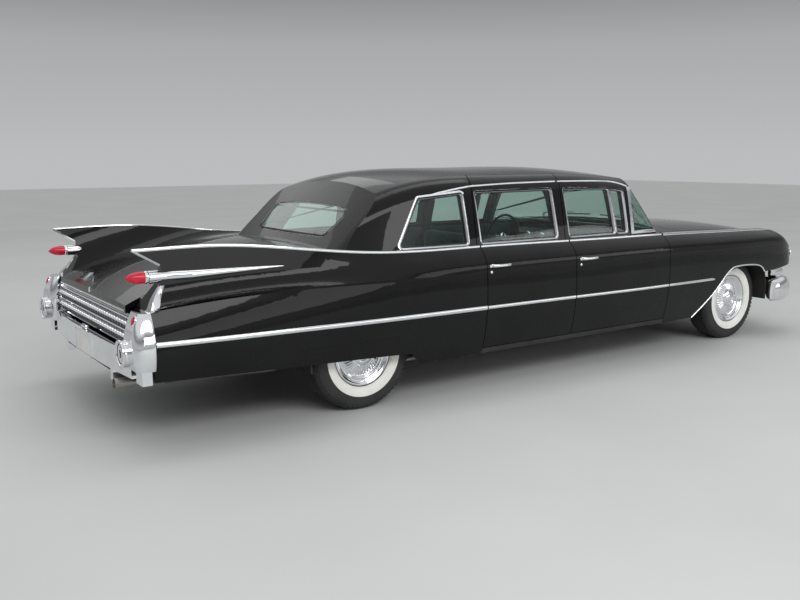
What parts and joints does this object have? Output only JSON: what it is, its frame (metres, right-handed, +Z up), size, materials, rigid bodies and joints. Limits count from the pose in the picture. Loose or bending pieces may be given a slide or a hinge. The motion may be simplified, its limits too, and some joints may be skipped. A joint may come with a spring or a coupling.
{
  "type": "limousine",
  "caption": "Long-wheelbase finned saloon with hinged doors, hood and trunk lid, steered front wheels and a hollow cabin.",
  "frame": {"origin": "on the ground under the middle of the car's length and width", "axes": "+X to the front, +Y to the car's left, +Z up"},
  "size_m": [6.218, 2.0492, 1.5073],
  "materials": {
    "body_paint": "gloss black paint",
    "chrome": "polished",
    "tinted_glass": "clear, light green tint",
    "red_lens": "gloss, clear red",
    "lamp_glass": "clear, fluted",
    "chassis_black": "satin black",
    "engine_iron": "painted, matt",
    "pipe_steel": "dull",
    "tyre_rubber": "matt, with a white wall",
    "seat_cloth": "woven, blue-green",
    "dash_trim": "satin, dark"
  },
  "bodies": {
    "body": {"front_fender_l": "body_paint", "front_fender_r": "body_paint", "cowl": "body_paint", "nose_panel": "body_paint", "roof": "body_paint", "rear_slope": "body_paint", "windshield_posts": "body_paint", "quarter_panel_l": "body_paint", "quarter_panel_r": "body_paint", "fender_skirt_l": "body_paint", "fender_skirt_r": "body_paint", "deck_panel": "body_paint", "tail_panel": "body_paint", "windshield": "tinted_glass", "rear_window": "tinted_glass", "quarter_glass": "tinted_glass", "lamp_spear_l": "chrome", "lamp_spear_r": "chrome", "rear_bumper": "chrome", "front_bumper": "chrome", "front_grille": "chrome", "tail_lamps": "red_lens", "headlamps": "lamp_glass", "chassis_frame": "chassis_black", "floor_pan": "chassis_black", "rear_floor": "chassis_black", "center_pillars": "chassis_black", "rear_axle": "chassis_black", "front_suspension": "chassis_black", "fuel_tank": "chassis_black", "engine_block": "engine_iron", "exhaust": "pipe_steel", "front_seat": "seat_cloth", "rear_seat": "seat_cloth", "dashboard": "dash_trim", "steering_wheel": "dash_trim"},
    "front_door_l": {"front_door_l": "body_paint", "front_door_glass_l": "tinted_glass"},
    "rear_door_l": {"rear_door_l": "body_paint", "rear_door_glass_l": "tinted_glass"},
    "knuckle_l": {"knuckle_l": "chassis_black"},
    "front_wheel_l": {"tyre_front_l": "tyre_rubber", "wheel_front_l": "chrome"},
    "rear_wheel_l": {"tyre_rear_l": "tyre_rubber", "wheel_rear_l": "chrome"},
    "front_door_r": {"front_door_r": "body_paint", "front_door_glass_r": "tinted_glass"},
    "rear_door_r": {"rear_door_r": "body_paint", "rear_door_glass_r": "tinted_glass"},
    "knuckle_r": {"knuckle_r": "chassis_black"},
    "front_wheel_r": {"tyre_front_r": "tyre_rubber", "wheel_front_r": "chrome"},
    "rear_wheel_r": {"tyre_rear_r": "tyre_rubber", "wheel_rear_r": "chrome"},
    "hood": {"hood": "body_paint"},
    "trunk_lid": {"trunk_lid": "body_paint"}
  },
  "joints": [
    {"name": "front_door_l_hinge", "type": "hinge", "parent": "body", "child": "front_door_l", "pos_m": [1.197, 1.0185, 0.7], "axis": [0, 0, -1], "range_deg": [0, 65]},
    {"name": "rear_door_l_hinge", "type": "hinge", "parent": "body", "child": "rear_door_l", "pos_m": [0.147, 1.0185, 0.7], "axis": [0, 0, -1], "range_deg": [0, 65]},
    {"name": "front_door_r_hinge", "type": "hinge", "parent": "body", "child": "front_door_r", "pos_m": [1.197, -1.0185, 0.7], "axis": [0, 0, 1], "range_deg": [0, 65]},
    {"name": "rear_door_r_hinge", "type": "hinge", "parent": "body", "child": "rear_door_r", "pos_m": [0.147, -1.0185, 0.7], "axis": [0, 0, 1], "range_deg": [0, 65]},
    {"name": "hood_hinge", "type": "hinge", "parent": "body", "child": "hood", "pos_m": [1.606, 0, 1.019], "axis": [0, -1, 0], "range_deg": [0, 50]},
    {"name": "trunk_lid_hinge", "type": "hinge", "parent": "body", "child": "trunk_lid", "pos_m": [-1.796, 0, 1.028], "axis": [0, 1, 0], "range_deg": [0, 70]},
    {"name": "steer_l", "type": "hinge", "parent": "body", "child": "knuckle_l", "pos_m": [2.22, 0.7, 0.355], "axis": [0, 0, 1], "range_deg": [-32, 32]},
    {"name": "front_wheel_l_spin", "type": "hinge", "parent": "knuckle_l", "child": "front_wheel_l", "pos_m": [2.22, 0.7745, 0.355], "axis": [0, 1, 0], "continuous": true},
    {"name": "rear_wheel_l_spin", "type": "hinge", "parent": "body", "child": "rear_wheel_l", "pos_m": [-1.584, 0.7745, 0.355], "axis": [0, 1, 0], "continuous": true},
    {"name": "steer_r", "type": "hinge", "parent": "body", "child": "knuckle_r", "pos_m": [2.22, -0.7, 0.355], "axis": [0, 0, 1], "range_deg": [-32, 32]},
    {"name": "front_wheel_r_spin", "type": "hinge", "parent": "knuckle_r", "child": "front_wheel_r", "pos_m": [2.22, -0.7745, 0.355], "axis": [0, 1, 0], "continuous": true},
    {"name": "rear_wheel_r_spin", "type": "hinge", "parent": "body", "child": "rear_wheel_r", "pos_m": [-1.584, -0.7745, 0.355], "axis": [0, 1, 0], "continuous": true}
  ],
  "couplings": [
    {"joint": "steer_r", "follows": "steer_l", "ratio": 1}
  ]
}
